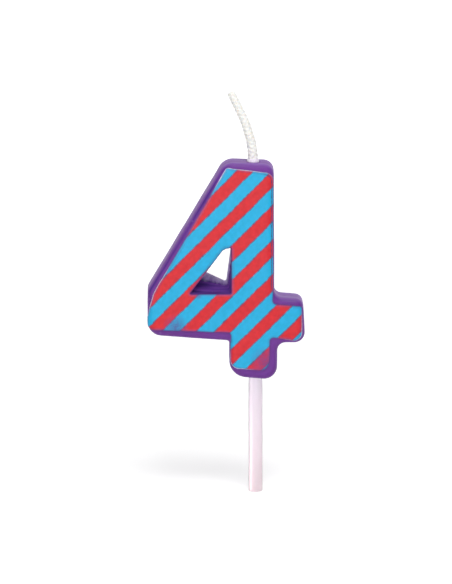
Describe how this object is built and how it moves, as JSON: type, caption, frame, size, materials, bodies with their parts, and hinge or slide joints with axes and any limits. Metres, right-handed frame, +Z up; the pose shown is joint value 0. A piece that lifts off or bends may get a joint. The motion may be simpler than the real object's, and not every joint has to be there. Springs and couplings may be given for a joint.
{
  "type": "number candle",
  "caption": "Moulded wax number candle, a bold figure four with a striped printed face, a bent wick on its head and a plain round pick under its foot.",
  "frame": {"origin": "the free end of the pick, on the pick's axis", "axes": "+Z up along the pick to the wick, +X to the right as the number is read, +Y from the printed face to the back"},
  "size_m": [0.0393, 0.0093, 0.1021],
  "materials": {
    "moulded_wax": "satin, cast from a mould",
    "printed_film": "satin printed film",
    "red_ink": "satin printed ink",
    "waxed_cotton": "braided and waxed",
    "pale_wax": "satin, set from a drop",
    "translucent_plastic": "satin, translucent"
  },
  "bodies": {
    "pick_body": {"pick": "translucent_plastic"},
    "candle": {"wax_body": "moulded_wax", "printed_film": "printed_film", "stripe_ink": "red_ink", "wick": "waxed_cotton", "wick_seal": "pale_wax"}
  },
  "joints": [
    {"name": "candle_lift", "type": "slide", "parent": "pick_body", "child": "candle", "axis": [0, 0, 1], "range_m": [0, 0.018]}
  ]
}
